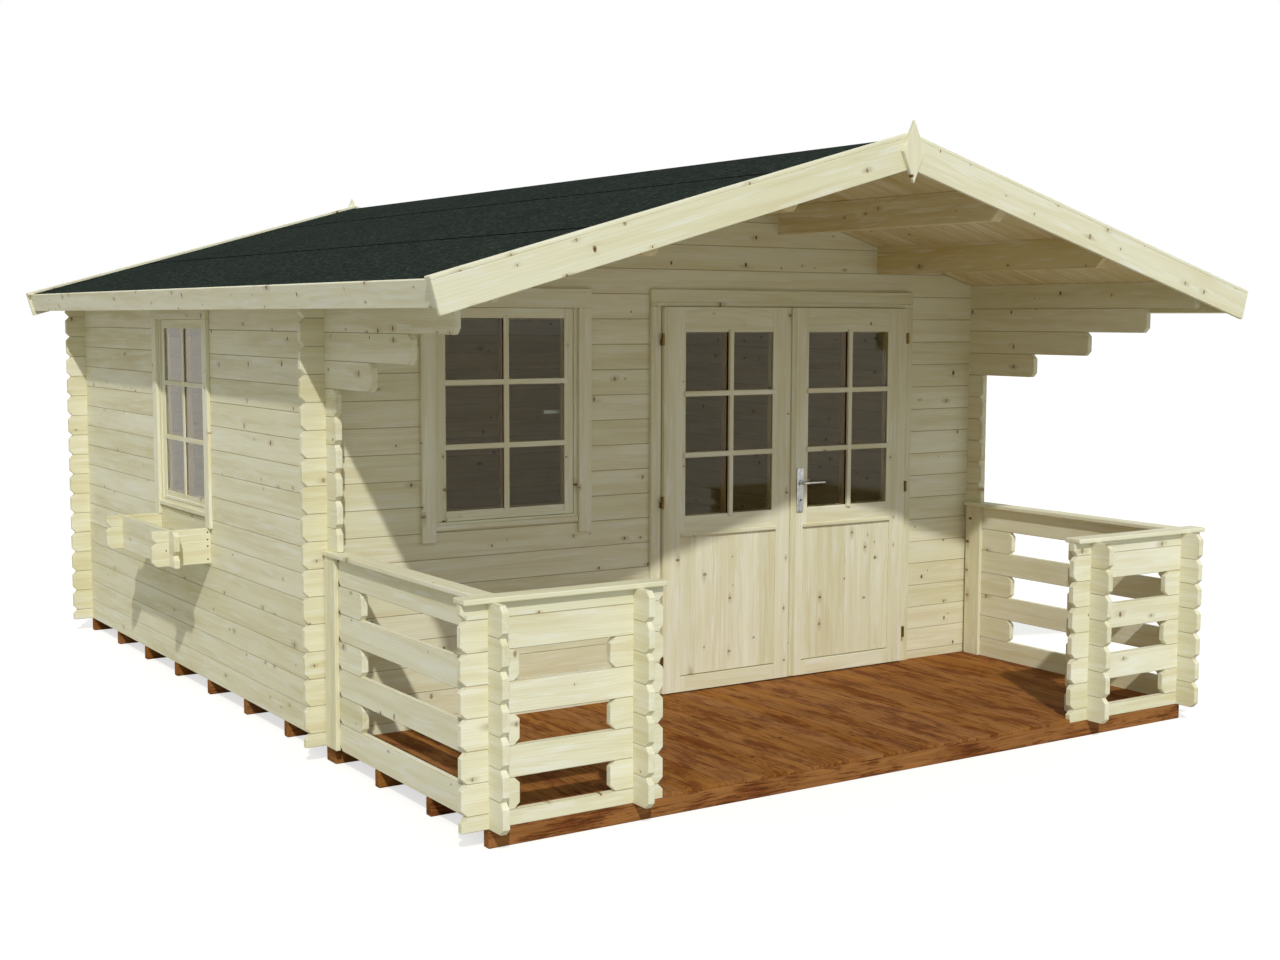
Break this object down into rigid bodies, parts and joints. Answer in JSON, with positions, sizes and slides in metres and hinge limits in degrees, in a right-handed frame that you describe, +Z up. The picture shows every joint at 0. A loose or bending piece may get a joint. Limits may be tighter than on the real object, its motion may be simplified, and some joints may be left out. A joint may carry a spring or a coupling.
{
  "type": "garden shed",
  "caption": "Log-built garden shed with a shallow gabled roof, a railed veranda under its front overhang, glazed outward doors, windows and a flower box.",
  "frame": {"origin": "on the ground under the front wall's outer face, at the middle of the house's width", "axes": "+X to the right seen from the front, +Y from the front to the back, +Z up"},
  "size_m": [4.1648, 5.358, 2.6036],
  "materials": {
    "log_wood": "planed pale spruce",
    "trim_wood": "planed pale spruce",
    "stained_wood": "red-brown stain",
    "roofing_felt": "mineral felt",
    "glass": "clear",
    "steel": "satin",
    "brass": "dull"
  },
  "bodies": {
    "shed": {"floor_joists": "stained_wood", "porch_front_beam": "stained_wood", "porch_deck": "stained_wood", "house_floor": "stained_wood", "front_wall_left": "log_wood", "front_wall_under_window": "log_wood", "front_wall_middle": "log_wood", "front_wall_right": "log_wood", "front_gable": "log_wood", "back_wall": "log_wood", "back_gable": "log_wood", "left_wall_rear": "log_wood", "left_wall_under_window": "log_wood", "left_wall_over_window": "log_wood", "left_wall_front": "log_wood", "left_corbels": "log_wood", "right_wall": "log_wood", "right_corbels": "log_wood", "purlins": "log_wood", "left_roof_boards": "log_wood", "right_roof_boards": "log_wood", "left_roof_felt": "roofing_felt", "right_roof_felt": "roofing_felt", "front_bargeboards": "trim_wood", "back_bargeboards": "trim_wood", "finials": "trim_wood", "eave_boards": "trim_wood", "left_side_railing": "trim_wood", "left_front_railing": "trim_wood", "right_side_railing": "trim_wood", "right_front_railing": "trim_wood", "railing_columns": "trim_wood", "railing_posts": "trim_wood", "handrails": "trim_wood", "door_frame": "trim_wood", "door_threshold": "trim_wood", "frame_hinges": "brass", "front_window": "trim_wood", "front_window_glass": "glass", "side_window": "trim_wood", "side_window_glass": "glass", "flower_box": "trim_wood"},
    "left_door": {"left_door_leaf": "trim_wood", "left_door_glass": "glass", "left_leaf_hinges": "brass"},
    "right_door": {"right_door_leaf": "trim_wood", "right_door_glass": "glass", "right_leaf_hinges": "brass", "door_handle": "steel"}
  },
  "joints": [
    {"name": "left_door_hinge", "type": "hinge", "parent": "shed", "child": "left_door", "pos_m": [-0.175, -0.04, 0.9935], "axis": [0, 0, -1], "range_deg": [0, 110]},
    {"name": "right_door_hinge", "type": "hinge", "parent": "shed", "child": "right_door", "pos_m": [1.315, -0.04, 0.9935], "axis": [0, 0, 1], "range_deg": [0, 110]}
  ]
}
